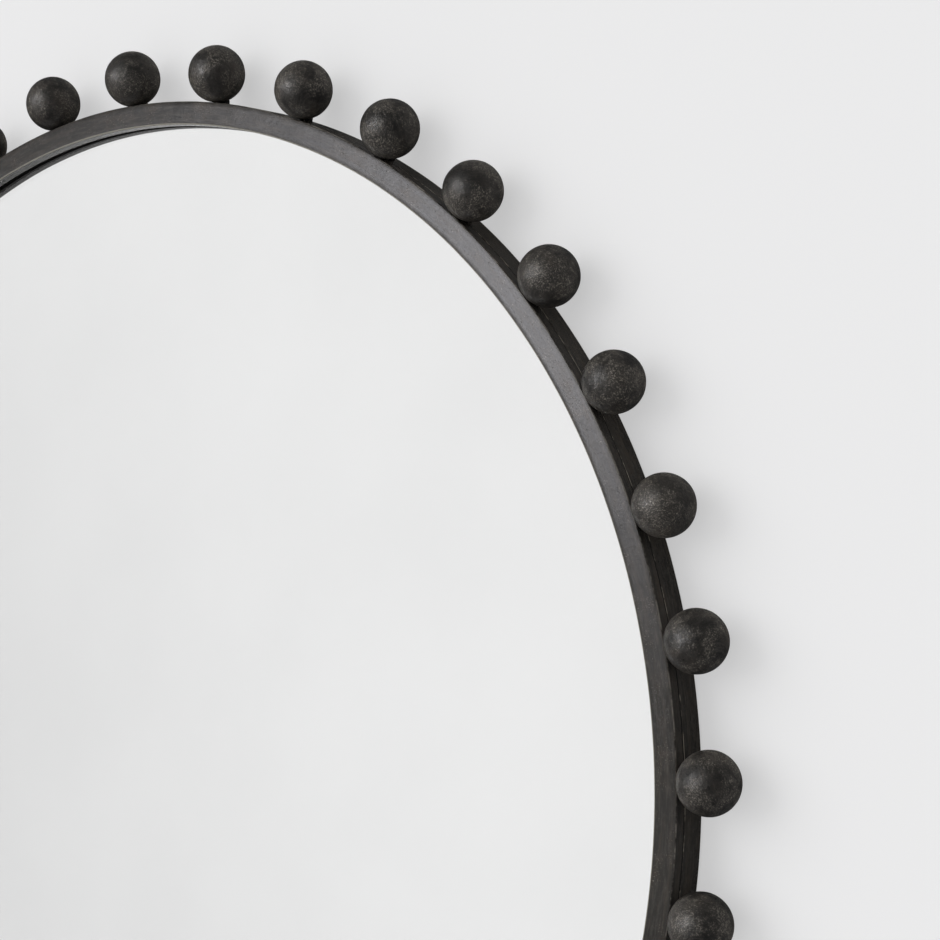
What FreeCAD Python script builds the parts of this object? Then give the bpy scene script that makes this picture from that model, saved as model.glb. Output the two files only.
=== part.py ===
"""Round wall mirror in an iron frame of two hoops, with a crown of forged balls.

Millimetres. The mirror faces -Y and hangs with +Z up. The origin is on the wall, behind the
mirror's centre. Each sub-part is drawn with its own Y counted backwards from the front face of
the frame, and its placement then puts that face where it stands off the wall.
"""

import FreeCAD, Part
import math
import os

import Sketcher
from FreeCAD import Placement, Rotation, Vector

SIZES = {
    # the two hoops
    "frame_diameter": 930,
    "face_width": 16.4,
    "front_ring_depth": 8.6,
    "recess_depth": 5.1,
    "face_bevel": 0.8,
    "seam_bevel": 0.4,
    "band_wall": 5,
    "back_bevel": 1,
    # the crown of balls and the weld bead behind each
    "ball_diameter": 40,
    "ball_count": 36,
    "ball_clearance": 0.3,
    "bead_width": 5,
    "bead_tilt": 35,
    "bead_reach": 13,
    "bead_toe": 15,
    "bead_clearance": 0.05,
    # the pane and its backing
    "glass_thickness": 5,
    "glass_edge_clearance": 1.5,
    "coat_clearance": 0.3,
    "board_thickness": 9,
    # the tabs folded over the board
    "tab_count": 8,
    "first_tab_angle": 22.5,
    "tab_thickness": 1.5,
    "tab_width": 20,
    "tab_length": 16,
    "tab_back_margin": 0.35,
    "tab_bend": 1,
    "tab_clearance": 0.15,
    # the hangers
    "hanger_spacing": 560,
    "hanger_height": 200,
    "strap_thickness": 1.2,
    "strap_width": 14,
    "strap_length": 40,
    "ring_bar_diameter": 3,
    "ring_bar_clearance": 0.1,
    "ring_side_clearance": 0.4,
    "ring_thickness": 2.5,
    "ring_rim": 3.2,
    "ring_straight": 6,
    "screw_offset": 22,
    "screw_pitch": 11,
    "screw_diameter": 3.6,
    "screw_head_diameter": 7,
    "screw_head_height": 2.2,
    "screw_length": 8,
    "screw_clearance": 0.1,
    # the felt on the back edge
    "felt_count": 4,
    "felt_thickness": 2,
    "felt_sweep": 5,
    "felt_margin": 0.6,
}

# where the pieces meet, each worked out from the sizes above; depths run back from the front face
RADIUS = "sizes.frame_diameter / 2"
SIGHT = f"({RADIUS} - sizes.face_width)"
BORE = f"({RADIUS} - sizes.band_wall)"
PANE = f"({BORE} - sizes.glass_edge_clearance)"
GLASS_BACK = "(sizes.front_ring_depth + sizes.glass_thickness)"
BOARD_FRONT = f"({GLASS_BACK} + sizes.coat_clearance)"
BOARD_BACK = f"({BOARD_FRONT} + sizes.board_thickness)"
FRAME_BACK = f"({BOARD_BACK} + sizes.recess_depth)"
FACE = f"-({FRAME_BACK} + sizes.felt_thickness)"
BALL = "sizes.ball_diameter / 2"
BALL_CENTRE = f"({RADIUS} + sizes.ball_clearance + {BALL})"
BALL_DEPTH = "(sizes.front_ring_depth / 2)"
KNUCKLE = "(sizes.ring_bar_diameter / 2 + sizes.ring_bar_clearance)"
KNUCKLE_OUTSIDE = f"({KNUCKLE} + sizes.strap_thickness)"
RING_INSIDE = "(sizes.strap_width / 2 + sizes.ring_side_clearance)"
RING_OUTSIDE = f"({RING_INSIDE} + sizes.ring_rim)"

SIDES = ((-1, "left"), (1, "right"))
SCREWS = (0, 1)
NEAR = 0.001  # places nearer than this are one

doc = FreeCAD.newDocument("studded_mirror")
sheet = doc.addObject("Spreadsheet::Sheet", "sizes")
for row, (alias, size) in enumerate(SIZES.items(), start=1):
    sheet.set(f"A{row}", alias)
    sheet.set(f"B{row}", str(size))
    sheet.setAlias(f"B{row}", alias)
doc.recompute()


def value(expression):
    """What an expression on the sheet comes to."""
    return float(sheet.evalExpression(expression))


def new_body(label, turn=None, base=("0", FACE, "0")):
    """An empty body, placed by its base and turned about the mirror's axis by an angle."""
    body = doc.addObject("PartDesign::Body", label)
    body.Label = label
    body.AllowCompound = True
    if turn:
        body.Placement = Placement(Vector(), Rotation(Vector(0, 1, 0), 1))
        body.setExpression("Placement.Rotation.Angle", turn)
    for axis, place in zip("xyz", base):
        body.setExpression(f"Placement.Base.{axis}", place)
    return body


def origin(body, role):
    """One of the body's own origin planes or axes."""
    return next(o for o in body.Origin.OriginFeatures if o.Role == role)


def new_sketch(body, name, plane="XY_Plane"):
    """A sketch on one of the body's origin planes."""
    sketch = body.newObject("Sketcher::SketchObject", name)
    sketch.AttachmentSupport = [(origin(body, plane), "")]
    sketch.MapMode = "FlatFace"
    return sketch


def pin(sketch, kind, edge, end, expression):
    """Ties an end or the centre of an edge to one coordinate given by an expression."""
    rule = Sketcher.Constraint(kind, -1, 1, edge, end, value(expression))
    name = f"{kind}_{edge}_{end}"
    sketch.renameConstraint(sketch.addConstraint(rule), name)
    sketch.setExpression(f"Constraints.{name}", expression)


def outline(sketch, corners, bows=()):
    """A closed outline through corners, each a pair of expressions.

    Its sides are straight, and those that bows numbers are half circles that hang below."""
    count = len(corners)
    points = [Vector(value(x), value(y), 0) for x, y in corners]
    ends = []
    for k, start in enumerate(points):
        finish = points[(k + 1) % count]
        if k in bows:
            radius = start.distanceToPoint(finish) / 2
            circle = Part.Circle((start + finish) / 2, Vector(0, 0, 1), radius)
            sketch.addGeometry(Part.ArcOfCircle(circle, math.pi, 2 * math.pi))
        else:
            sketch.addGeometry(Part.LineSegment(start, finish))
        ends.append((2, 1) if k in bows and start.x > finish.x else (1, 2))
    for k, corner in enumerate(corners):
        after = (k + 1) % count
        meet = Sketcher.Constraint("Coincident", k, ends[k][1], after, ends[after][0])
        sketch.addConstraint(meet)
        pin(sketch, "DistanceX", k, ends[k][0], corner[0])
        pin(sketch, "DistanceY", k, ends[k][0], corner[1])
        if k in bows:  # a sketch numbers the centre of an arc 3
            pin(sketch, "DistanceY", k, 3, corner[1])


def revolve(body, name, corners, sweep="360"):
    """Turns an outline in radius and depth about the mirror's axis, evenly about its start."""
    sketch = new_sketch(body, f"{name}_profile")
    outline(sketch, corners)
    turned = body.newObject("PartDesign::Revolution", name)
    turned.Profile = sketch
    turned.ReferenceAxis = (sketch, ["V_Axis"])
    turned.Midplane = True
    turned.setExpression("Angle", sweep)
    return turned


def pad(body, name, corners, length, plane="XY_Plane", bows=()):
    """Pads an outline by a length, half of it to each side of the sketch."""
    sketch = new_sketch(body, f"{name}_profile", plane)
    outline(sketch, corners, bows)
    block = body.newObject("PartDesign::Pad", name)
    block.Profile = sketch
    block.Midplane = True
    block.setExpression("Length", length)
    return block


def rod(body, name, kind, plane, radius, length, centre, lift):
    """A round rod or bore square to a plane, from its lift off the plane to lift plus length."""
    made = body.newObject(f"PartDesign::{kind}Cylinder", name)
    made.AttachmentSupport = [(origin(body, plane), "")]
    made.MapMode = "FlatFace"
    made.setExpression("Radius", radius)
    made.setExpression("Height", length)
    for axis, place in zip("xyz", (*centre, lift)):
        made.setExpression(f"AttachmentOffset.Base.{axis}", place)
    return made


def around(body, feature, count):
    """Repeats a feature evenly round the mirror's axis."""
    pattern = body.newObject("PartDesign::PolarPattern", f"{feature.Name}_round")
    pattern.Originals = [feature]
    pattern.Axis = (origin(body, "Y_Axis"), [""])
    pattern.Angle = 360
    pattern.setExpression("Occurrences", count)
    body.Tip = pattern
    return pattern


def edges_through(shape, place):
    """Names of the straight edges along Z that pass through a place in X and Y."""
    x, y = (value(p) for p in place)
    names = []
    for number, edge in enumerate(shape.Edges, start=1):
        near = [abs(v.X - x) < NEAR and abs(v.Y - y) < NEAR for v in edge.Vertexes]
        if len(near) == 2 and all(near):
            names.append(f"Edge{number}")
    return names


def bend(body, name, base, place, radius):
    """Rounds the edge through a place, as where a strip is folded."""
    fold = body.newObject("PartDesign::Fillet", name)
    fold.Base = (base, edges_through(base.Shape, place))
    fold.setExpression("Radius", radius)
    body.Tip = fold
    return fold


def front_ring():
    """The flat bar hoop that frames the glass, with both front arrises eased."""
    body = new_body("front_ring")
    revolve(body, "hoop", [
        (SIGHT, "sizes.front_ring_depth"),
        (SIGHT, "sizes.face_bevel"),
        (f"{SIGHT} + sizes.face_bevel", "0"),
        (f"{RADIUS} - sizes.face_bevel", "0"),
        (RADIUS, "sizes.face_bevel"),
        (RADIUS, "sizes.front_ring_depth - sizes.seam_bevel"),
        (f"{RADIUS} - sizes.seam_bevel", "sizes.front_ring_depth"),
    ])


def rear_band():
    """The thinner hoop behind, flush at the outside, which houses the pane and its board."""
    body = new_body("rear_band")
    revolve(body, "band", [
        (BORE, "sizes.front_ring_depth"),
        (f"{RADIUS} - sizes.seam_bevel", "sizes.front_ring_depth"),
        (RADIUS, "sizes.front_ring_depth + sizes.seam_bevel"),
        (RADIUS, f"{FRAME_BACK} - sizes.back_bevel"),
        (f"{RADIUS} - sizes.back_bevel", FRAME_BACK),
        (BORE, FRAME_BACK),
    ])


def disc(body, name, front, back):
    """A solid disc of the pane's radius between two depths."""
    return revolve(body, name, [("0", front), (PANE, front), (PANE, back), ("0", back)])


def mirror_glass():
    """The flat pane, which lies against the back of the front ring."""
    disc(new_body("mirror_glass"), "pane", "sizes.front_ring_depth", GLASS_BACK)


def balls():
    """The crown of balls, centred on the thickness of the front ring."""
    body = new_body("balls")
    ball = body.newObject("PartDesign::AdditiveSphere", "ball")
    ball.AttachmentSupport = [(origin(body, "XY_Plane"), "")]
    ball.MapMode = "FlatFace"
    ball.setExpression("Radius", BALL)
    ball.setExpression("AttachmentOffset.Base.x", BALL_CENTRE)
    ball.setExpression("AttachmentOffset.Base.y", BALL_DEPTH)
    around(body, ball, "sizes.ball_count")


def ball_welds():
    """The beads in the nooks behind the balls: wedges that lie on the hoop and touch the ball."""
    body = new_body("ball_welds")
    skin = f"({BALL} + sizes.bead_clearance)"
    tilt_cos = "cos(sizes.bead_tilt)"
    tilt_sin = "sin(sizes.bead_tilt)"
    nook = f"{BALL_DEPTH} + ({skin} - ({BALL_CENTRE} - {RADIUS}) * {tilt_cos}) / {tilt_sin}"
    crest = f"{BALL_CENTRE} - ({skin} - sizes.bead_reach * {tilt_sin}) / {tilt_cos}"
    bead = pad(body, "bead", [
        (RADIUS, nook),
        (crest, f"{BALL_DEPTH} + sizes.bead_reach"),
        (RADIUS, f"{BALL_DEPTH} + sizes.bead_toe"),
    ], "sizes.bead_width")
    around(body, bead, "sizes.ball_count")


def backing_board():
    """The fibreboard behind the pane, with pilot holes for the hanger screws."""
    body = new_body("backing_board")
    disc(body, "board", BOARD_FRONT, BOARD_BACK)
    for side, name in SIDES:
        for step in SCREWS:
            rod(body, f"pilot_{name}_{step}", "Subtractive", "XZ_Plane",
                "sizes.screw_diameter / 2 + sizes.screw_clearance",
                "sizes.screw_length - sizes.strap_thickness + sizes.screw_clearance",
                (f"{side} * sizes.hanger_spacing / 2", screw_place(step)),
                f"-{BOARD_BACK}")


def screw_place(step):
    """The height of a hanger screw, counted down from the knuckle."""
    return f"sizes.hanger_height - sizes.screw_offset - {step} * sizes.screw_pitch"


def retaining_tab(number):
    """One bent steel tab: a leg welded to the band's bore and a leg folded over the board."""
    turn = f"-(sizes.first_tab_angle + {number - 1} * 360 / sizes.tab_count)"
    body = new_body(f"retaining_tab_{number}", turn)
    wall = f"({BORE} - sizes.tab_clearance)"
    rise = f"({BOARD_BACK} + sizes.tab_clearance)"
    inner = (f"{wall} - sizes.tab_thickness", f"{rise} + sizes.tab_thickness")
    top = f"{FRAME_BACK} - sizes.tab_back_margin"
    strip = pad(body, "strip", [
        (wall, rise),
        (wall, top),
        (inner[0], top),
        inner,
        (f"{wall} - sizes.tab_length", inner[1]),
        (f"{wall} - sizes.tab_length", rise),
    ], "sizes.tab_width")
    doc.recompute()
    inside = bend(body, "inside_bend", strip, inner, "sizes.tab_bend")
    doc.recompute()
    bend(body, "outside_bend", inside, (wall, rise), "sizes.tab_bend + sizes.tab_thickness")


def at_hanger(side):
    """Where a hanger's own origin stands: at its knuckle, on the back of the board."""
    return f"{side} * sizes.hanger_spacing / 2", f"{FACE} + {BOARD_BACK}", "sizes.hanger_height"


def hanger_strap(side, name):
    """A steel strap on the board, its top rolled into a knuckle round the ring's bar."""
    body = new_body(f"hanger_strap_{name}", base=at_hanger(side))
    half = "sizes.strap_width / 2"
    rod(body, "knuckle", "Additive", "YZ_Plane", KNUCKLE_OUTSIDE, "sizes.strap_width",
        (KNUCKLE_OUTSIDE, "0"), f"-{half}")
    pad(body, "plate", [
        ("0", "0"),
        ("sizes.strap_thickness", "0"),
        ("sizes.strap_thickness", "-sizes.strap_length"),
        ("0", "-sizes.strap_length"),
    ], "sizes.strap_width", "YZ_Plane")
    rod(body, "knuckle_bore", "Subtractive", "YZ_Plane", KNUCKLE, "sizes.strap_width",
        (KNUCKLE_OUTSIDE, "0"), f"-{half}")
    for step in SCREWS:
        rod(body, f"screw_hole_{step}", "Subtractive", "XZ_Plane",
            "sizes.screw_diameter / 2 + sizes.screw_clearance", "sizes.strap_thickness",
            ("0", f"-sizes.screw_offset - {step} * sizes.screw_pitch"), "-sizes.strap_thickness")


def hanger_ring(side, name):
    """A pressed D-ring, which hangs from the round bar that turns in the knuckle."""
    x, y, z = at_hanger(side)
    body = new_body(f"hanger_ring_{name}", base=(x, f"{y} + {KNUCKLE_OUTSIDE}", z))
    bar = "sizes.ring_bar_diameter / 2"
    low = "-sizes.ring_straight"
    pad(body, "loop", [
        (f"-{RING_OUTSIDE}", bar),
        (f"-{RING_OUTSIDE}", low),
        (RING_OUTSIDE, low),
        (RING_OUTSIDE, bar),
        (RING_INSIDE, bar),
        (RING_INSIDE, low),
        (f"-{RING_INSIDE}", low),
        (f"-{RING_INSIDE}", bar),
    ], "sizes.ring_thickness", "XZ_Plane", bows=(1, 5))
    rod(body, "bar", "Additive", "YZ_Plane", bar, f"2 * {RING_OUTSIDE}", ("0", "0"),
        f"-{RING_OUTSIDE}")


def hanger_screws():
    """The pan-head screws of both straps, as one group of separate solids."""
    body = new_body("hanger_screws", base=(
        "-sizes.hanger_spacing / 2",
        f"{FACE} + {BOARD_BACK} + sizes.strap_thickness",
        screw_place(0),
    ))
    shank = "sizes.screw_diameter / 2"
    head = "sizes.screw_head_diameter / 2"
    screw = revolve(body, "screw", [
        ("0", "-sizes.screw_length"),
        (shank, f"-(sizes.screw_length - {shank})"),
        (shank, "0"),
        (head, "0"),
        (head, "sizes.screw_head_height / 2"),
        (f"{head} / 2", "sizes.screw_head_height"),
        ("0", "sizes.screw_head_height"),
    ])
    grid = body.newObject("PartDesign::MultiTransform", "screw_grid")
    across = line_pattern(body, "across", "X_Axis", "sizes.hanger_spacing", False)
    down = line_pattern(body, "down", "Z_Axis", "sizes.screw_pitch", True)
    grid.Originals = [screw]
    grid.Transformations = [across, down]
    body.Tip = grid


def line_pattern(body, name, axis, length, reverse):
    """Two copies a length apart along one of the body's axes, for use in a grid."""
    pattern = body.newObject("PartDesign::LinearPattern", name)
    pattern.Direction = (origin(body, axis), [""])
    pattern.Reversed = reverse
    pattern.Occurrences = 2
    pattern.setExpression("Length", length)
    return pattern


def felt_pad(number):
    """One felt strip on the back edge of the band, which rests on the wall."""
    body = new_body(f"felt_pad_{number}", f"-({number} - 0.5) * 360 / sizes.felt_count")
    inner = f"{BORE} + sizes.felt_margin"
    outer = f"{RADIUS} - sizes.back_bevel - sizes.felt_margin"
    back = f"{FRAME_BACK} + sizes.felt_thickness"
    revolve(body, "strip", [
        (inner, FRAME_BACK),
        (outer, FRAME_BACK),
        (outer, back),
        (inner, back),
    ], "sizes.felt_sweep")


front_ring()
rear_band()
mirror_glass()
balls()
ball_welds()
backing_board()
for number in range(1, SIZES["tab_count"] + 1):
    retaining_tab(number)
for side, name in SIDES:
    hanger_strap(side, name)
    hanger_ring(side, name)
hanger_screws()
for number in range(1, SIZES["felt_count"] + 1):
    felt_pad(number)
doc.recompute()

for item in doc.Objects:
    if "Invalid" in item.State or "Error" in item.State:
        raise RuntimeError(f"{item.Name} did not build: {item.State}")

os.makedirs("parts", exist_ok=True)
for body in doc.findObjects("PartDesign::Body"):
    if body.Shape.isNull() or not body.Shape.isValid():
        raise RuntimeError(f"{body.Label} has no valid shape")
    body.Shape.exportStep(f"parts/{body.Label}.step")
    print(body.Label, len(body.Shape.Solids), round(body.Shape.Volume, 1))
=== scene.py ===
"""Round wall mirror: flat glass in a deep iron hoop, crowned with forged iron balls.

Metres. The mirror faces -Y and hangs with +Z up. The origin is on the wall, behind its centre.
"""
import math
import random

import bmesh
import bpy
import numpy as np
from mathutils import Matrix, Vector


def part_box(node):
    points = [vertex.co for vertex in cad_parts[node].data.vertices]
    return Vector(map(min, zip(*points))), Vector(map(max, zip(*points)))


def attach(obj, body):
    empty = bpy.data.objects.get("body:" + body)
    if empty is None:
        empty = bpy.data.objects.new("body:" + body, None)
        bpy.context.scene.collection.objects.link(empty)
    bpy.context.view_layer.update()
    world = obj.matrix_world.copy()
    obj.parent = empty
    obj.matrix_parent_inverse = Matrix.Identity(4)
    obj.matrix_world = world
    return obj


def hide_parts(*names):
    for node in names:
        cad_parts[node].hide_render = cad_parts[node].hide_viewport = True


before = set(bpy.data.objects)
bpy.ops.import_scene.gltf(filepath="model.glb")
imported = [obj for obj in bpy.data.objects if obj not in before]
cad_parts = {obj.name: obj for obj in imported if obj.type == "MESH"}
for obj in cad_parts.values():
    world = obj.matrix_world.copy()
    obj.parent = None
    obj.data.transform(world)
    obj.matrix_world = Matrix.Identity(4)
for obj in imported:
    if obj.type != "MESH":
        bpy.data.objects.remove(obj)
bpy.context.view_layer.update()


def grey(level, warmth=0.0):
    """A colour written by its level, a little warmer or cooler than neutral."""
    return (level * (1 + warmth), level, level * (1 - warmth), 1)


MM = 0.001
DOUBLES = 0.002 * MM  # points closer than this are one

# what the solids give: the hoop's outside and the depths that its pieces meet at
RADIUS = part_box("front_ring")[1].x
FACE_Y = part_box("front_ring")[0].y
SEAM_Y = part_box("front_ring")[1].y
BAND_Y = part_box("rear_band")[1].y
GLASS_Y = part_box("mirror_glass")[1].y
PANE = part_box("mirror_glass")[1].x
WALL_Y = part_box("felt_pad_1")[1].y

# the hoops: the bars, their eased edges, and how finely section and round are divided
FACE_WIDTH = 16.4 * MM
BAND_WALL = 5 * MM
FACE_ARRIS = 0.8 * MM
SEAM_ARRIS = 0.45 * MM
BACK_ARRIS = 1 * MM
ARRIS_STEPS = 5
LONG_SIDE = 2.5 * MM
SIDE_CUTS = 4
HOOP_STEPS = 1200

# the marks on the hoops: where rubbing starts, in from each edge, and grain to a radian; along the
# inner arris the rubbing is partly a painted highlight
OUTER_RUB = 0.9 * MM
INNER_RUB_AND_HIGHLIGHT = 1.1 * MM
FRONT_RUB = 1.1 * MM
GRAIN_ALONG = 0.06

# the crown
BALLS = 36
BALL = 20 * MM
BALL_GAP = 0.3 * MM
BALL_RING = RADIUS + BALL_GAP + BALL
BALL_Y = (FACE_Y + SEAM_Y) / 2
BALL_INSET = 0.05 * MM
BALL_TILTS = (0.3, 1.3)
BALL_DRAWS = 7
WELD_LUMPS = (  # mm: across, out from the hoop, back from the ball's middle, radius
    (-2.0, 0.8, 9.0, 3.0),
    (1.9, 0.6, 9.8, 2.8),
    (-1.2, 2.4, 11.2, 2.6),
    (1.7, 2.8, 11.6, 2.4),
    (0.2, 0.4, 12.8, 2.8),
    (0.0, 0.6, 6.8, 2.4),
)
WELD_VOXEL = 0.5 * MM

# the silver coat
COAT_THICK = 0.2 * MM
COAT_GAP = 0.03 * MM
COAT_MARGIN = 0.5 * MM
COAT_EDGE = 0.05 * MM

# the fixings behind
TABS = 8
TAB_EASE = 0.3 * MM
STRAP_EASE = 0.2 * MM
RING_EASE = 0.6 * MM
SCREW_HEAD = 7 * MM
SCREW_TALL = 2.2 * MM
SCREW_DOME = 1.3 * MM
SCREW_SHANK = 3.6 * MM
SCREW_LONG = 8 * MM
SCREW_CUTS = 19
SCREW_POINT = 0.12
SCREW_THREADS = 5
THREAD_PINCH = 0.8
SCREW_DRAWS = 11
RECESS = (0.9 * MM, 2.6 * MM, 4.0 * MM)
RECESS_FLOOR = 0.5
FELTS = 4
FELT_SWEEP = 5
FELT_MARGIN = 0.6 * MM
FELT_CORNER = 0.5 * MM
FELT_STEPS = 80
FELT_VOXEL = 0.25 * MM

# uneven skins, the broad waves before the fine: grain and depth
HOOP_SKIN = ((30 * MM, 0.16 * MM), (5 * MM, 0.05 * MM))
BALL_SKIN = ((16 * MM, 0.22 * MM), (4 * MM, 0.07 * MM))
WELD_SKIN = ((2.5 * MM, 0.9 * MM),)
FELT_SKIN = ((1.2 * MM, 0.22 * MM), (0.5 * MM, 0.12 * MM))

# the camera, in the photograph's place
CAMERA_PLACE = (1.30549, -1.28368, 0.12698)
CAMERA_TURN = (92.331, 0.65, 38.473)
CAMERA_LENS = 96.054
CAMERA_SENSOR = 36

# the soft distant lamps: where each stands, how strong it is and how many degrees it spreads
SUNS = {
    "key_light": (Vector((-0.58, -0.74, 0.30)).normalized(), 1.2, 50),
    "rear_light": (Vector((0.45, 0.80, 0.55)).normalized(), 1.2, 40),
}

# the two bright patches that iron mirrors: where each stands, seen from the mirror, its
# colour, and how many degrees from its middle it ends and is full; the glow is the window's
WINDOW = Vector((-0.586, -0.801, 0.128)).normalized()
WINDOW_LIGHT = (12.0, 12.0, 12.8, 1)
WINDOW_EDGES = (8, 2)
GLOW_EDGES = (60, 10)
LAMP = Vector((-0.300, -0.924, 0.242)).normalized()
LAMP_LIGHT = (10.0, 9.8, 9.6, 1)
LAMP_EDGES = (12, 4)

# the room round them, as dull things, glossy ones and the sharp glass take it
DULL_SHADE = grey(0.03)
DULL_LIT = (0.92, 0.92, 0.93, 1)
DULL_REAR = grey(0.60)
GLOSSY_SHADE = grey(0.06)
GLOSSY_LIT = grey(0.30)
GLOSSY_REAR = grey(0.85)
SHARP_SHADE = grey(0.735)
SHARP_LIT = grey(0.885)

# the wall and the floor that the camera sees
WALL_SIZE = 14
WALL_GAP = 0.3 * MM
WALL_OPENING = RADIUS - 2 * MM
WALL_MIRRORED = grey(0.12)
FLOOR_SIZE = 11
FLOOR_Z = -1.05
ROOM_PALE = (0.82, 0.82, 0.822, 1)
ROOM_DIM = (0.805, 0.805, 0.807, 1)
SHADOWS_LIFTED = 0.58


class Wire:
    """A value on its way through a node tree: sums written with it add their own Math nodes."""

    def __init__(self, tree, socket=None):
        self.tree = tree
        self.socket = socket

    def node(self, kind, settings, output=0, **sockets):
        """Adds a node of a kind: its settings first, then the values or links of its sockets."""
        made = self.tree.nodes.new(kind)
        for name, setting in settings.items():
            setattr(made, name, setting)
        for name, value in sockets.items():
            numbered = name[1:].isdigit()
            socket = made.inputs[int(name[1:]) if numbered else name.replace("_", " ")]
            if isinstance(value, Wire):
                self.tree.links.new(value.socket, socket)
            else:
                socket.default_value = value
        return Wire(self.tree, made.outputs[output])

    def maths(self, operation, a, b=0.0):
        """A Math node of an operation on one value or two."""
        return self.node("ShaderNodeMath", {"operation": operation}, _0=a, _1=b)

    def __add__(self, other):
        return self.maths("ADD", self, other)

    def __sub__(self, other):
        return self.maths("SUBTRACT", self, other)

    def __rsub__(self, other):
        return self.maths("SUBTRACT", other, self)

    def __mul__(self, other):
        return self.maths("MULTIPLY", self, other)

    __radd__ = __add__

    def step(self, low, high):
        """0 below low, 1 above high, and smooth between; the other way round if low is above high."""
        return self.node("ShaderNodeMapRange", {"interpolation_type": "SMOOTHSTEP"},
                         Value=self, From_Min=low, From_Max=high)

    def mix(self, first, second):
        """The first colour where this is 0 and the second where it is 1."""
        return self.node("ShaderNodeMix", {"data_type": "RGBA"}, 2, _0=self, _6=first, _7=second)

    def under(self, *layers):
        """This colour with layers over it: where each lies, how strong it is, and its colour."""
        seen = self
        for where, strength, colour in layers:
            seen = (where * strength).mix(seen, colour)
        return seen

    def scaled(self, by):
        """A vector times another, axis by axis."""
        return self.node("ShaderNodeVectorMath", {"operation": "MULTIPLY"}, _0=self, _1=by)

    def facing(self, direction):
        """How nearly a vector points in a direction: 1 where it does, -1 where it points away."""
        return self.node("ShaderNodeVectorMath", {"operation": "DOT_PRODUCT"}, "Value",
                         _0=self, _1=tuple(direction))

    def within(self, outer, inner):
        """1 where this, the cosine of an angle, is within inner degrees, and 0 beyond outer."""
        return self.step(math.cos(math.radians(outer)), math.cos(math.radians(inner)))

    def noise(self, scale, detail=2.0, roughness=0.5, distortion=0.0):
        """Soft noise at so many grains a metre, about 0.5 on average, read at this vector."""
        return self.node("ShaderNodeTexNoise", {}, Vector=self, Scale=scale, Detail=detail,
                         Roughness=roughness, Distortion=distortion)

    def axes(self):
        """The three parts of a vector."""
        split = self.node("ShaderNodeSeparateXYZ", {}, Vector=self).socket.node
        return [Wire(self.tree, socket) for socket in split.outputs]

    def vector(self, x, y, z):
        """A vector put together from its three parts."""
        return self.node("ShaderNodeCombineXYZ", {}, X=x, Y=y, Z=z)

    def rays(self, *kinds):
        """For each kind of ray, a value that is 1 for such rays and 0 for the rest."""
        told = self.node("ShaderNodeLightPath", {}).socket.node.outputs
        return [Wire(self.tree, told[f"Is {kind} Ray"]) for kind in kinds]


class Finish:
    """A material under way: its tree, the place on the piece, and its shader at the end."""

    def __init__(self, name):
        self.material = bpy.data.materials.new(name)
        self.material.use_nodes = True
        self.tree = self.material.node_tree
        self.tree.nodes.clear()
        self.add = Wire(self.tree)
        self.place = self.add.node("ShaderNodeTexCoord", {}, "Object")

    def surface(self, bumps=(), **sockets):
        """Ends the material with one shader, its normal pushed by bumps: (height, depth in metres)."""
        normal = None
        for height, depth in bumps:
            before = {"Normal": normal} if normal else {}
            normal = self.add.node("ShaderNodeBump", {}, Height=height, Distance=depth, **before)
        if normal:
            sockets["Normal"] = normal
        self.close(self.add.node("ShaderNodeBsdfPrincipled", {}, **sockets))
        return self.material

    def close(self, shader):
        """Ends the material with a shader as its surface."""
        end = self.tree.nodes.new("ShaderNodeOutputMaterial")
        self.tree.links.new(shader.socket, end.inputs["Surface"])


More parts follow.
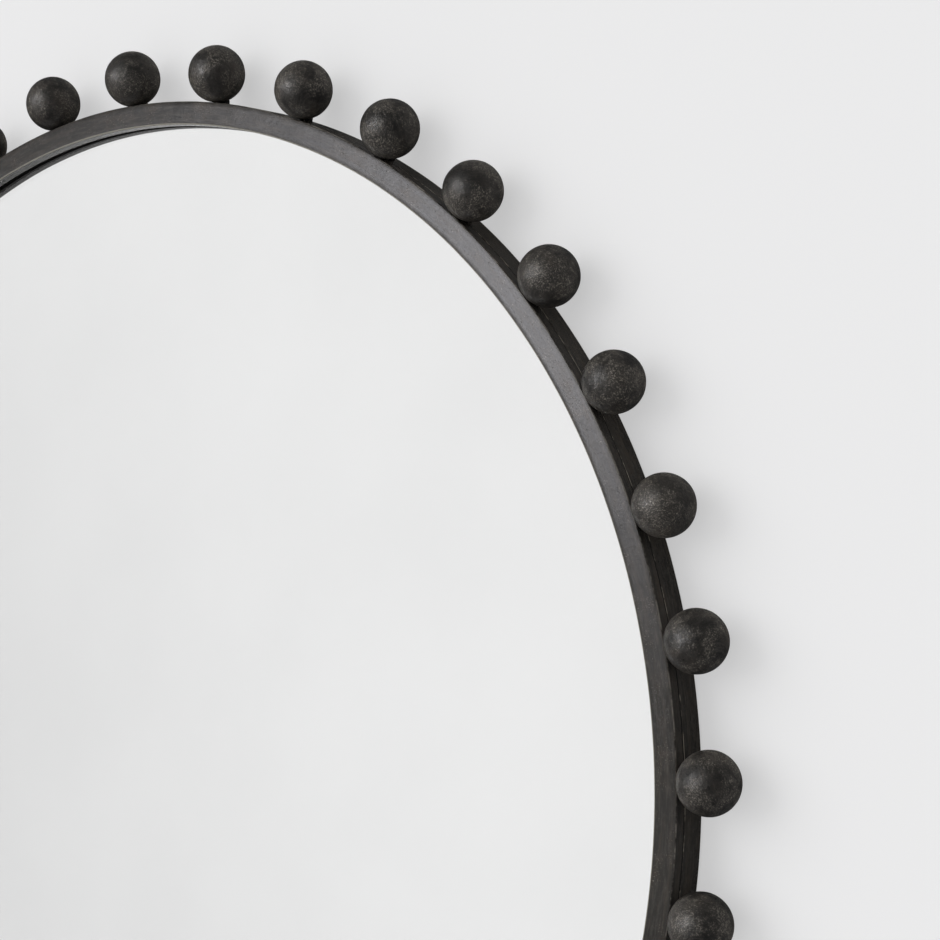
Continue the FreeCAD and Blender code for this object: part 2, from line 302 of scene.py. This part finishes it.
def hoop_iron():
    """Blackened bar iron: a grain that runs round the hoop, pits, brown bloom and rubbed arrises, with
    painted highlights along the inner arris and the rear band's edge by the seam, and painted shade in
    the seam's groove.
    """
    finish = Finish("hoop_iron")
    x, y, z = finish.place.axes()
    radius = finish.add.maths("SQRT", x * x + z * z)
    turn = finish.add.maths("ARCTAN2", x, 0 - z)
    along = finish.add.vector(radius, y, turn * GRAIN_ALONG)
    grain = along.noise(950, 3, 0.65)
    streaks = along.noise(300, 3, 0.6)
    cloud = finish.place.noise(14, 3, 0.55)
    bloom = finish.place.noise(60, 4, 0.65)
    wear_and_glint = finish.place.noise(90, 4, 0.7)
    mottle = finish.place.noise(290, 4, 0.7)
    pits = finish.place.noise(900, 2, 0.6).step(0.36, 0.28)
    flecks = finish.place.noise(1200, 2, 0.5).step(0.60, 0.72) * bloom.step(0.45, 0.6)

    outer_line = RADIUS - OUTER_RUB
    inner_line = RADIUS - FACE_WIDTH + INNER_RUB_AND_HIGHLIGHT
    on_face = (outer_line - radius).step(0, 0.4 * MM)
    outer = (radius - outer_line).step(0.2 * MM, 0.7 * MM)
    front = (y - (FACE_Y + FRONT_RUB)).step(0, -0.7 * MM)
    inner = (inner_line - radius).step(0, 0.6 * MM)
    past_seam = y - SEAM_Y
    # painted shade: the groove where the two hoops meet, darkened on the outside
    seam_shade = past_seam.step(-1.0 * MM, -0.2 * MM) * past_seam.step(0.5 * MM, 0.15 * MM)
    # painted highlight: the rear band's front edge just behind the seam, as if catching light
    behind = past_seam.step(0.3 * MM, 0.5 * MM) * past_seam.step(1.2 * MM, 0.7 * MM)

    scale = cloud.step(0.35, 0.65).mix((0.020, 0.0185, 0.0165, 1), (0.029, 0.027, 0.0245, 1))
    base = scale.under(
        (bloom.step(0.5, 0.72), 0.55, (0.040, 0.031, 0.023, 1)),
        (streaks.step(0.42, 0.68), 0.45, (0.052, 0.043, 0.034, 1)),
        (mottle.step(0.50, 0.78), 0.30, (0.075, 0.070, 0.062, 1)),
        (grain.step(0.45, 0.70), 0.30, (0.080, 0.074, 0.065, 1)),
        (flecks * on_face, 0.7, (0.26, 0.235, 0.20, 1)),
        (outer * front * wear_and_glint.step(0.40, 0.62), 0.6, (0.27, 0.25, 0.22, 1)),
        # rubbed bare metal on the inner arris, kept nearly unbroken: partly wear, partly a painted
        # highlight
        (inner * front * wear_and_glint.step(0.18, 0.42), 0.85, (0.34, 0.325, 0.275, 1)),
        (pits, 0.5, (0.018, 0.017, 0.016, 1)),
        # painted shade in the seam's groove
        (seam_shade * outer, 0.9, grey(0.004)),
        # painted highlight along the rear band's edge by the seam, broken into stretches
        (behind * outer * wear_and_glint.step(0.45, 0.58), 0.7, (0.32, 0.29, 0.24, 1)))
    rough = 0.08 + grain * 0.08 + streaks * 0.10 + mottle * 0.06 + bloom * 0.02
    return finish.surface(
        [(grain, 0.012 * MM), (mottle, 0.05 * MM), (pits, -0.04 * MM)],
        Base_Color=base, Metallic=0.1, Roughness=rough, Specular_IOR_Level=0.3)


def ball_iron():
    """Forged ball skin: charcoal with brown patches, rubbed clusters of flecks, faint turning arcs."""
    finish = Finish("ball_iron")
    turned = finish.add.node("ShaderNodeAttribute", {"attribute_name": "turned"}, "Vector")
    arcs = turned.scaled((1.6, 1.6, 42)).noise(1, 3, 0.6)
    dashes = turned.scaled((11, 11, 70)).noise(1, 2, 0.5).step(0.58, 0.68)
    patches = finish.place.noise(55, 4, 0.65)
    clusters = finish.place.noise(60, 4, 0.65).step(0.40, 0.60)
    specks = finish.place.noise(1100, 3, 0.7).step(0.53, 0.66)
    grit = finish.place.noise(300, 4, 0.75)
    hammered = finish.place.noise(150, 2, 0.5)
    scale = patches.step(0.40, 0.60).mix((0.010, 0.0091, 0.0081, 1), (0.027, 0.0237, 0.0202, 1))
    base = scale.under(
        (patches.step(0.56, 0.72), 0.6, (0.046, 0.036, 0.027, 1)),
        (arcs.step(0.5, 0.75), 0.45, (0.080, 0.073, 0.064, 1)),
        (clusters, 0.30, (0.062, 0.056, 0.048, 1)),
        (clusters * specks, 0.80, (0.33, 0.295, 0.245, 1)),
        (clusters * dashes, 0.60, (0.28, 0.25, 0.21, 1)),
        (specks, 0.20, (0.14, 0.122, 0.10, 1)))
    rough = 0.27 + grit.step(0.32, 0.68) * 0.26 + clusters * 0.04
    return finish.surface(
        [(hammered, 0.30 * MM), (grit, 0.30 * MM), (arcs, 0.10 * MM), (specks, 0.04 * MM)],
        Base_Color=base, Metallic=0.15, Roughness=rough, Specular_IOR_Level=0.85)


def weld_metal():
    """Painted weld metal with chips of bare bright steel."""
    finish = Finish("weld_metal")
    chips = finish.place.noise(520, 3, 0.6).step(0.62, 0.68)
    soot = finish.place.noise(200, 3, 0.6)
    base = soot.mix((0.014, 0.013, 0.013, 1), (0.034, 0.031, 0.029, 1)).under(
        (chips, 0.85, (0.34, 0.30, 0.25, 1)))
    return finish.surface([(finish.place.noise(900, 3, 0.6), 0.15 * MM)],
                          Base_Color=base, Metallic=0.5, Roughness=0.42 + soot * 0.2)


def clear_glass():
    """Float glass, clear across the pane and greenish towards its ground edge."""
    finish = Finish("clear_glass")
    x, _, z = finish.place.axes()
    edge = finish.add.maths("SQRT", x * x + z * z).step(PANE - 3 * MM, PANE)
    haze = finish.place.noise(9, 2, 0.5).step(0.3, 0.7)
    base = haze.mix((0.988, 0.989, 0.989, 1), (0.996, 0.997, 0.997, 1))
    base = edge.mix(base, (0.72, 0.90, 0.82, 1))
    return finish.surface(Base_Color=base, Roughness=0.0, IOR=1.5, Transmission_Weight=1.0)


def silvering():
    """The bright coat behind the glass, a shade darker here and there."""
    finish = Finish("silvering")
    cloud = finish.place.noise(5, 2, 0.5).step(0.3, 0.7)
    base = cloud.mix(grey(0.935), grey(0.950))
    return finish.surface(Base_Color=base, Metallic=1.0, Roughness=0.0)


def fibreboard():
    """Pressed brown board: short pale and dark fibres lying every way over a mottled ground."""
    finish = Finish("fibreboard")
    ground = finish.place.noise(30, 4, 0.6)
    across = finish.place.scaled((1, 1, 9)).noise(260, 3, 0.6, 1.5)
    down = finish.place.scaled((9, 1, 1)).noise(260, 3, 0.6, 1.5)
    base = ground.step(0.2, 0.8).mix((0.165, 0.106, 0.062, 1), (0.195, 0.128, 0.077, 1)).under(
        (across.step(0.55, 0.75), 0.5, (0.32, 0.235, 0.155, 1)),
        (down.step(0.58, 0.75), 0.5, (0.085, 0.050, 0.028, 1)))
    return finish.surface([(across, 0.06 * MM), (down, 0.06 * MM)],
                          Base_Color=base, Roughness=0.72 + ground * 0.15)


def plated_steel(name, tone, dull):
    """Zinc-plated or bright mild steel with a fine brushed grain, stains and dull spots."""
    finish = Finish(name)
    brushed = finish.place.scaled((1, 1, 0.06)).noise(2600, 3, 0.6)
    stains = finish.place.noise(110, 4, 0.6)
    base = brushed.mix(grey(tone * 0.86, 0.02), grey(tone)).under(
        (stains.step(0.55, 0.75), dull, grey(tone * 0.42, 0.10)))
    rough = 0.28 + brushed * 0.12 + stains * 0.14
    return finish.surface([(brushed, 0.02 * MM), (stains, 0.06 * MM)],
                          Base_Color=base, Metallic=0.95, Roughness=rough)


def painted_steel():
    """Black-painted strip steel, its grain soft under the paint and bare here and there."""
    finish = Finish("painted_steel")
    orange_peel = finish.place.noise(700, 2, 0.5)
    chips = finish.place.noise(240, 4, 0.65).step(0.66, 0.70)
    dust = finish.place.noise(60, 3, 0.6).step(0.4, 0.7)
    base = dust.mix((0.022, 0.022, 0.023, 1), (0.040, 0.039, 0.037, 1)).under(
        (chips, 0.8, (0.28, 0.26, 0.24, 1)))
    return finish.surface([(orange_peel, 0.04 * MM), (chips, -0.05 * MM)],
                          Base_Color=base, Roughness=0.38 + dust * 0.2)


def felt():
    """Dark pressed wool, its fibres crossing at every angle."""
    finish = Finish("felt")
    fibres = finish.place.noise(1800, 3, 0.7, 2.5)
    clumps = finish.place.noise(260, 3, 0.6)
    base = fibres.step(0.4, 0.65).mix((0.016, 0.016, 0.018, 1), (0.060, 0.060, 0.064, 1)).under(
        (clumps.step(0.5, 0.8), 0.4, grey(0.10)))
    return finish.surface([(fibres, 0.25 * MM), (clumps, 0.3 * MM)],
                          Base_Color=base, Roughness=0.95, Sheen_Weight=0.4, Sheen_Roughness=0.5)


def alone(piece):
    """Leaves one piece selected and active."""
    bpy.ops.object.select_all(action="DESELECT")
    piece.select_set(True)
    bpy.context.view_layer.objects.active = piece


def primitive(make, name, **where):
    """Adds a primitive with nothing else selected, names it and opens it for edits."""
    bpy.ops.object.select_all(action="DESELECT")
    make(**where)
    piece = bpy.context.object
    piece.name = piece.data.name = name
    bpy.ops.object.mode_set(mode="EDIT")
    bpy.ops.mesh.select_all(action="SELECT")
    return piece


def pick(piece, kind, wanted):
    """Selects only the vertices, edges or faces of a piece under edit that are wanted."""
    mesh = bmesh.from_edit_mesh(piece.data)
    bpy.ops.mesh.select_all(action="DESELECT")
    bpy.context.tool_settings.mesh_select_mode = [kind == k for k in ("verts", "edges", "faces")]
    for part in getattr(mesh, kind):
        if wanted(part):
            part.select_set(True)
    mesh.select_flush_mode()
    bmesh.update_edit_mesh(piece.data)


def applied():
    """Leaves the edits, with the piece's place and turn written into its mesh."""
    bpy.ops.object.mode_set(mode="OBJECT")
    bpy.ops.object.transform_apply(location=True, rotation=True, scale=True)


def closed(piece):
    """Ends the edits: merges doubles and turns the faces outwards."""
    bpy.ops.mesh.select_all(action="SELECT")
    bpy.ops.mesh.remove_doubles(threshold=DOUBLES)
    bpy.ops.mesh.normals_make_consistent(inside=False)
    applied()
    return piece


def modify(piece, kind, **settings):
    """Adds a modifier to a piece and applies it."""
    made = piece.modifiers.new(kind.lower(), kind)
    for name, setting in settings.items():
        setattr(made, name, setting)
    bpy.context.view_layer.objects.active = piece
    bpy.ops.object.modifier_apply(modifier=made.name)


def uneven(piece, skin):
    """Moves the surface in and out by up to half of each depth, in lumps about a grain across."""
    for grain, depth in skin:
        lumps = bpy.data.textures.new("lumps", "CLOUDS")
        lumps.noise_scale = grain
        modify(piece, "DISPLACE", texture=lumps, texture_coords="LOCAL",
               strength=depth, mid_level=0.5)


def fused(piece, voxel, iterations):
    """Melts the lumps of a piece into one skin and softens it."""
    modify(piece, "REMESH", mode="VOXEL", voxel_size=voxel)
    modify(piece, "SMOOTH", factor=0.5, iterations=iterations)


def smooth(piece, angle):
    """Shades a piece smooth, but for the edges that turn by more than an angle in degrees."""
    alone(piece)
    bpy.ops.object.shade_smooth_by_angle(angle=math.radians(angle))
    return piece


def coated(piece, material):
    """Gives a piece one finish, in place of any that it had."""
    piece.data.materials.clear()
    piece.data.materials.append(material)


def fitted(piece, material, slot, body, *nodes):
    """Gives a piece its finish and the body it moves with, and lets it stand for CAD nodes."""
    coated(piece, material)
    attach(piece, body)
    if nodes:
        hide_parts(*nodes)
    return piece


def about_axis(angle):
    """The turn about the mirror's axis that lifts what lies on the X axis to an angle."""
    return Matrix.Rotation(-angle, 4, "Y")


def copied(piece, name, turn):
    """A copy with its own mesh, turned about the mirror's axis."""
    copy = piece.copy()
    copy.data = piece.data.copy()
    copy.name = copy.data.name = name
    copy.data.transform(turn)
    bpy.context.scene.collection.objects.link(copy)
    return copy


def hoop(name, inner, front, back, arrises):
    """A bar bent into a hoop: its section is drawn, its corners eased by arrises, then spun."""
    wide, deep = RADIUS - inner, back - front
    piece = primitive(bpy.ops.mesh.primitive_plane_add, name, size=1,
                      location=((inner + RADIUS) / 2, (front + back) / 2, 0))
    bpy.ops.transform.resize(value=(wide, deep, 1))
    for (out, behind), ease in arrises.items():
        pick(piece, "verts", lambda v: (v.co.x > 0) == out and (v.co.y > 0) == behind
             and abs(abs(v.co.x) - wide / 2) < DOUBLES and abs(abs(v.co.y) - deep / 2) < DOUBLES)
        bpy.ops.mesh.bevel(offset=ease, segments=ARRIS_STEPS, affect="VERTICES")
    pick(piece, "edges", lambda e: e.calc_length() > LONG_SIDE)
    bpy.ops.mesh.subdivide(number_cuts=SIDE_CUTS)
    bpy.ops.mesh.select_all(action="SELECT")
    bpy.ops.mesh.delete(type="ONLY_FACE")
    bpy.ops.mesh.select_all(action="SELECT")
    bpy.ops.mesh.spin(steps=HOOP_STEPS, angle=math.tau, center=(0, 0, 0), axis=(0, 1, 0))
    closed(piece)
    uneven(piece, HOOP_SKIN)
    return smooth(piece, 40)


def forged_ball():
    """The ball on the X axis that the others are copied from."""
    ball = primitive(bpy.ops.mesh.primitive_ico_sphere_add, "ball_00", subdivisions=5,
                     radius=BALL - BALL_INSET, location=(BALL_RING, BALL_Y, 0))
    return closed(ball)


def weld_bead():
    """Weld metal in the nook behind the ball on the X axis: run lumps, fused into one bead."""
    add_lump = bpy.ops.mesh.primitive_ico_sphere_add
    first, *others = [
        {"subdivisions": 3, "radius": size * MM,
         "location": (RADIUS + out * MM, BALL_Y + back * MM, across * MM)}
        for across, out, back, size in WELD_LUMPS]
    bead = primitive(add_lump, "weld_00", **first)
    applied()
    bpy.ops.object.mode_set(mode="EDIT")
    for lump in others:
        add_lump(**lump)
    bpy.ops.object.mode_set(mode="OBJECT")
    fused(bead, WELD_VOXEL, 2)
    return bead


def turning_marks(ball, centre, spin):
    """Keeps each point's place as seen in the ball's own turned frame, for its arcs and dashes."""
    places = np.zeros(3 * len(ball.data.vertices))
    ball.data.vertices.foreach_get("co", places)
    places = (places.reshape(-1, 3) - centre) @ np.array(spin).T / BALL
    turned = ball.data.attributes.new("turned", "FLOAT_VECTOR", "POINT")
    turned.data.foreach_set("vector", places.ravel())


def crown():
    """All the balls, each with its weld, spaced evenly round the hoop."""
    iron = ball_iron()
    welded = weld_metal()
    first_ball = forged_ball()
    first_weld = weld_bead()
    draw = random.Random(BALL_DRAWS)
    for number in range(BALLS):
        turn = about_axis(math.tau * number / BALLS)
        ball = copied(first_ball, f"ball_{number + 1}", turn)
        uneven(ball, BALL_SKIN)
        spin = Matrix.Rotation(draw.uniform(0, math.tau), 3, "Y") @ Matrix.Rotation(
            draw.uniform(*BALL_TILTS), 3, "X")
        turning_marks(ball, turn @ Vector((BALL_RING, BALL_Y, 0)), spin)
        fitted(smooth(ball, 60), iron, "ball_iron", "frame", "balls")
        weld = copied(first_weld, f"weld_{number + 1}", turn)
        uneven(weld, WELD_SKIN)
        fitted(smooth(weld, 60), welded, "weld_metal", "frame", "ball_welds")
    for pattern in (first_ball, first_weld):
        bpy.data.objects.remove(pattern)


def silver_coat():
    """The silvering, a thin disc in the clearance behind the pane."""
    coat = primitive(bpy.ops.mesh.primitive_cylinder_add, "silver_coat", vertices=240,
                     radius=PANE - COAT_MARGIN, depth=COAT_THICK, end_fill_type="NGON",
                     location=(0, GLASS_Y + COAT_GAP + COAT_THICK / 2, 0),
                     rotation=(math.pi / 2, 0, 0))
    pick(coat, "edges", lambda e: abs(e.calc_face_angle(0) - math.pi / 2) < 0.01)
    bpy.ops.mesh.bevel(offset=COAT_EDGE, segments=2)
    closed(coat)
    return fitted(smooth(coat, 10), silvering(), "mirror", "frame")


def refined(node, ease, material, slot, body):
    """A copy of a solid with its sharp edges eased, which stands for it."""
    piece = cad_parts[node].copy()
    piece.data = piece.data.copy()
    piece.name = piece.data.name = f"{node}_eased"
    for key in list(piece.keys()):
        del piece[key]
    piece.parent = None
    bpy.context.scene.collection.objects.link(piece)
    alone(piece)
    bpy.ops.object.mode_set(mode="EDIT")
    bpy.ops.mesh.select_all(action="SELECT")
    bpy.ops.mesh.remove_doubles(threshold=DOUBLES)
    bpy.ops.mesh.dissolve_limited(angle_limit=math.radians(1))
    bpy.ops.object.mode_set(mode="OBJECT")
    modify(piece, "BEVEL", width=ease, segments=2, limit_method="ANGLE",
           angle_limit=math.radians(40))
    return fitted(smooth(piece, 30), material, slot, body, node)


def cut(piece, tool, operation):
    """Cuts one piece with another or joins the two, and clears the second away."""
    modify(piece, "BOOLEAN", object=tool, operation=operation, solver="EXACT")
    bpy.data.objects.remove(tool)


def screw():
    """A pan-head screw on the Y axis, its head outwards, with a crossed recess and a point."""
    head, tall, long = SCREW_HEAD / 2, SCREW_TALL, SCREW_LONG
    made = primitive(bpy.ops.mesh.primitive_cylinder_add, "screw_00", vertices=64, radius=head,
                     depth=tall, location=(0, tall / 2, 0), rotation=(-math.pi / 2, 0, 0))
    pick(made, "edges", lambda e: all(v.co.z > 0.9 * tall / 2 and v.co.xy.length > head - 0.01 * MM
                                      for v in e.verts))
    bpy.ops.mesh.bevel(offset=SCREW_DOME, segments=8)
    closed(made)
    for turn in (0, math.pi / 2):
        blade = primitive(bpy.ops.mesh.primitive_cube_add, "blade", size=1, rotation=(0, turn, 0),
                          location=(0, tall, 0))
        bpy.ops.transform.resize(value=RECESS, orient_type="LOCAL")
        pick(blade, "faces", lambda f: f.calc_center_median().y < -0.4 * MM
             and abs(f.normal.y) > 0.9)
        bpy.ops.transform.resize(value=(RECESS_FLOOR, 1, RECESS_FLOOR), orient_type="LOCAL")
        closed(blade)
        cut(made, blade, "DIFFERENCE")
    shank = primitive(bpy.ops.mesh.primitive_cylinder_add, "shank", vertices=40,
                      radius=SCREW_SHANK / 2, depth=long, location=(0, -long / 2, 0),
                      rotation=(-math.pi / 2, 0, 0))
    pick(shank, "edges", lambda e: abs(e.verts[0].co.z - e.verts[1].co.z) > long / 2)
    bpy.ops.mesh.subdivide(number_cuts=SCREW_CUTS)
    pick(shank, "verts", lambda v: v.co.z < -0.49 * long)
    bpy.ops.transform.resize(value=(SCREW_POINT, SCREW_POINT, 1), orient_type="LOCAL")
    for thread in range(SCREW_THREADS):
        pick(shank, "verts", lambda v: abs(v.co.z + long * (0.45 - 0.1 * thread)) < 0.1 * MM)
        bpy.ops.transform.resize(value=(THREAD_PINCH, THREAD_PINCH, 1), orient_type="LOCAL")
    closed(shank)
    cut(made, shank, "UNION")
    return smooth(made, 40)


def screws():
    """The screws through both hanger straps, each turned home at its own angle."""
    low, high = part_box("hanger_screws")
    steel = plated_steel("screw_steel", 0.62, 0.5)
    pattern = screw()
    draw = random.Random(SCREW_DRAWS)
    holes = [(x, z) for x in (low.x + SCREW_HEAD / 2, high.x - SCREW_HEAD / 2)
             for z in (low.z + SCREW_HEAD / 2, high.z - SCREW_HEAD / 2)]
    for number, (x, z) in enumerate(holes, 1):
        place = Matrix.Translation((x, high.y - SCREW_TALL, z))
        made = copied(pattern, f"screw_{number}", place @ about_axis(draw.uniform(0, math.tau)))
        fitted(made, steel, "screw_steel", "frame", "hanger_screws")
    bpy.data.objects.remove(pattern)


def felt_strips():
    """The soft strips on the hoop's back edge, their corners rounded and their skin woolly."""
    wool = felt()
    inner, outer = RADIUS - BAND_WALL + FELT_MARGIN, RADIUS - BACK_ARRIS - FELT_MARGIN
    sweep = math.radians(FELT_SWEEP)
    strip = primitive(bpy.ops.mesh.primitive_plane_add, "felt_00", size=1,
                      location=((inner + outer) / 2, (BAND_Y + WALL_Y) / 2, 0))
    bpy.ops.transform.resize(value=(outer - inner, WALL_Y - BAND_Y, 1))
    pick(strip, "verts", lambda v: v.co.y > 0)
    bpy.ops.mesh.bevel(offset=FELT_CORNER, segments=4, affect="VERTICES")
    bpy.ops.mesh.select_all(action="SELECT")
    bpy.ops.mesh.spin(steps=FELT_STEPS, angle=sweep, center=(0, 0, 0), axis=(0, 1, 0))
    closed(strip)
    fused(strip, FELT_VOXEL, 3)
    centred = Matrix.Rotation(-sweep / 2, 4, "Y")
    for number in range(1, FELTS + 1):
        pad = f"felt_pad_{number}"
        middle = (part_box(pad)[0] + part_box(pad)[1]) / 2
        turn = about_axis(math.atan2(middle.z, middle.x)) @ centred
        made = copied(strip, f"felt_strip_{number}", turn)
        uneven(made, FELT_SKIN)
        fitted(smooth(made, 60), wool, "felt", "frame", pad)
    bpy.data.objects.remove(strip)


def fixings():
    """What holds the pane and hangs the mirror: tabs, straps, D-rings, screws and felt."""
    painted = painted_steel()
    zinc = plated_steel("zinc_steel", 0.58, 0.45)
    for number in range(1, TABS + 1):
        refined(f"retaining_tab_{number}", TAB_EASE, painted, "tab_steel", "frame")
    for side in ("left", "right"):
        refined(f"hanger_strap_{side}", STRAP_EASE, zinc, "zinc_steel", "frame")
        refined(f"hanger_ring_{side}", RING_EASE, zinc, "zinc_steel", f"{side}_ring")
    screws()
    felt_strips()


def stage_plane(name, size, location, rotation, colour, opening=0.0):
    """A pale plane that is seen from its front only, with a round opening at its middle."""
    bpy.ops.object.select_all(action="DESELECT")
    bpy.ops.mesh.primitive_plane_add(size=size, location=location, rotation=rotation)
    plane = bpy.context.object
    plane.name = name
    finish = Finish(f"{name}_paint")
    tone = finish.place.noise(1.1, 2, 0.5)
    back = finish.add.node("ShaderNodeNewGeometry", {}, "Backfacing")
    seen, glossy = finish.add.rays("Camera", "Glossy")
    base = glossy.mix(tone.mix(colour, ROOM_DIM), WALL_MIRRORED)
    paint = finish.add.node("ShaderNodeBsdfPrincipled", {}, Base_Color=base, Roughness=0.9,
                            Specular_IOR_Level=0.2)
    plain = finish.add.node("ShaderNodeEmission", {}, Color=colour)
    paint = finish.add.node("ShaderNodeMixShader", {}, _0=seen * SHADOWS_LIFTED, _1=paint, _2=plain)
    x, y, _ = finish.place.axes()
    inside = finish.add.maths("LESS_THAN", x * x + y * y, opening * opening)
    clear = finish.add.node("ShaderNodeBsdfTransparent", {})
    gone = finish.add.maths("MAXIMUM", back, inside)
    finish.close(finish.add.node("ShaderNodeMixShader", {}, _0=gone, _1=paint, _2=clear))
    plane.data.materials.append(finish.material)
    plane.visible_shadow = False
    return plane


def sun(name, towards, strength, spread):
    """A soft distant lamp that shines from a direction and isn't itself mirrored."""
    bpy.ops.object.light_add(type="SUN")
    lamp = bpy.context.object
    lamp.name = name
    lamp.data.energy = strength
    lamp.data.angle = math.radians(spread)
    lamp.rotation_mode = "QUATERNION"
    lamp.rotation_quaternion = towards.to_track_quat("Z", "Y")
    lamp.visible_glossy = False
    lamp.visible_transmission = False


def room():
    """The light of a pale room with one window.

    What is dull takes the room's soft light, what is glossy mirrors the window and a lamp, and
    what is as sharp as the glass sees a pale wall, as the camera does."""
    world = bpy.data.worlds.new("room")
    bpy.context.scene.world = world
    world.use_nodes = True
    world.node_tree.nodes.clear()
    add = Wire(world.node_tree)
    seen, glossy, sharp = add.rays("Camera", "Glossy", "Singular")
    towards = add.node("ShaderNodeTexCoord", {}, "Generated")
    across, deep, up = towards.axes()
    window, lamp = towards.facing(WINDOW), towards.facing(LAMP)
    rear = deep.step(0.05, 0.6)
    dull = rear.mix(window.step(-0.75, 0.9).mix(DULL_SHADE, DULL_LIT), DULL_REAR)
    mirrored = window.within(*GLOW_EDGES).mix(GLOSSY_SHADE, GLOSSY_LIT)
    mirrored = window.within(*WINDOW_EDGES).mix(mirrored, WINDOW_LIGHT)
    mirrored = lamp.within(*LAMP_EDGES).mix(mirrored, LAMP_LIGHT)
    mirrored = rear.mix(mirrored, GLOSSY_REAR)
    pale = (across + up * 0.25).step(-0.86, -0.64).mix(SHARP_SHADE, SHARP_LIT)
    colour = glossy.mix(dull, mirrored)
    colour = sharp.mix(colour, pale)
    colour = seen.mix(colour, ROOM_PALE)
    light = add.node("ShaderNodeBackground", {}, Color=colour, Strength=1.0)
    end = world.node_tree.nodes.new("ShaderNodeOutputWorld")
    world.node_tree.links.new(light.socket, end.inputs["Surface"])


def camera():
    """The camera as it was fitted to the photographed hoop and balls."""
    bpy.ops.object.camera_add(location=CAMERA_PLACE,
                              rotation=[math.radians(turn) for turn in CAMERA_TURN])
    made = bpy.context.object
    made.data.lens = CAMERA_LENS
    made.data.sensor_width = CAMERA_SENSOR
    bpy.context.scene.camera = made


camera()
room()
for name, light in SUNS.items():
    sun(name, *light)
stage_plane("wall", WALL_SIZE, (0, WALL_Y + WALL_GAP, 0), (math.pi / 2, 0, 0), ROOM_PALE,
            WALL_OPENING)
floor = stage_plane("floor", FLOOR_SIZE, (0, 0, FLOOR_Z), (0, 0, 0), ROOM_PALE)
floor.visible_diffuse = floor.visible_glossy = floor.visible_transmission = False

# each arris is told by where it lies on the section: outside, and behind
iron = hoop_iron()
face = hoop("front_hoop", RADIUS - FACE_WIDTH, FACE_Y, SEAM_Y, {
    (True, False): FACE_ARRIS,
    (False, False): FACE_ARRIS,
    (True, True): SEAM_ARRIS,
})
fitted(face, iron, "forged_iron", "frame", "front_ring")
band = hoop("rear_hoop", RADIUS - BAND_WALL, SEAM_Y, BAND_Y, {
    (True, False): SEAM_ARRIS,
    (True, True): BACK_ARRIS,
})
fitted(band, iron, "forged_iron", "frame", "rear_band")
crown()

coated(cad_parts["mirror_glass"], clear_glass())
silver_coat()
coated(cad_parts["backing_board"], fibreboard())
fixings()

bpy.context.scene.view_settings.view_transform = "Standard"
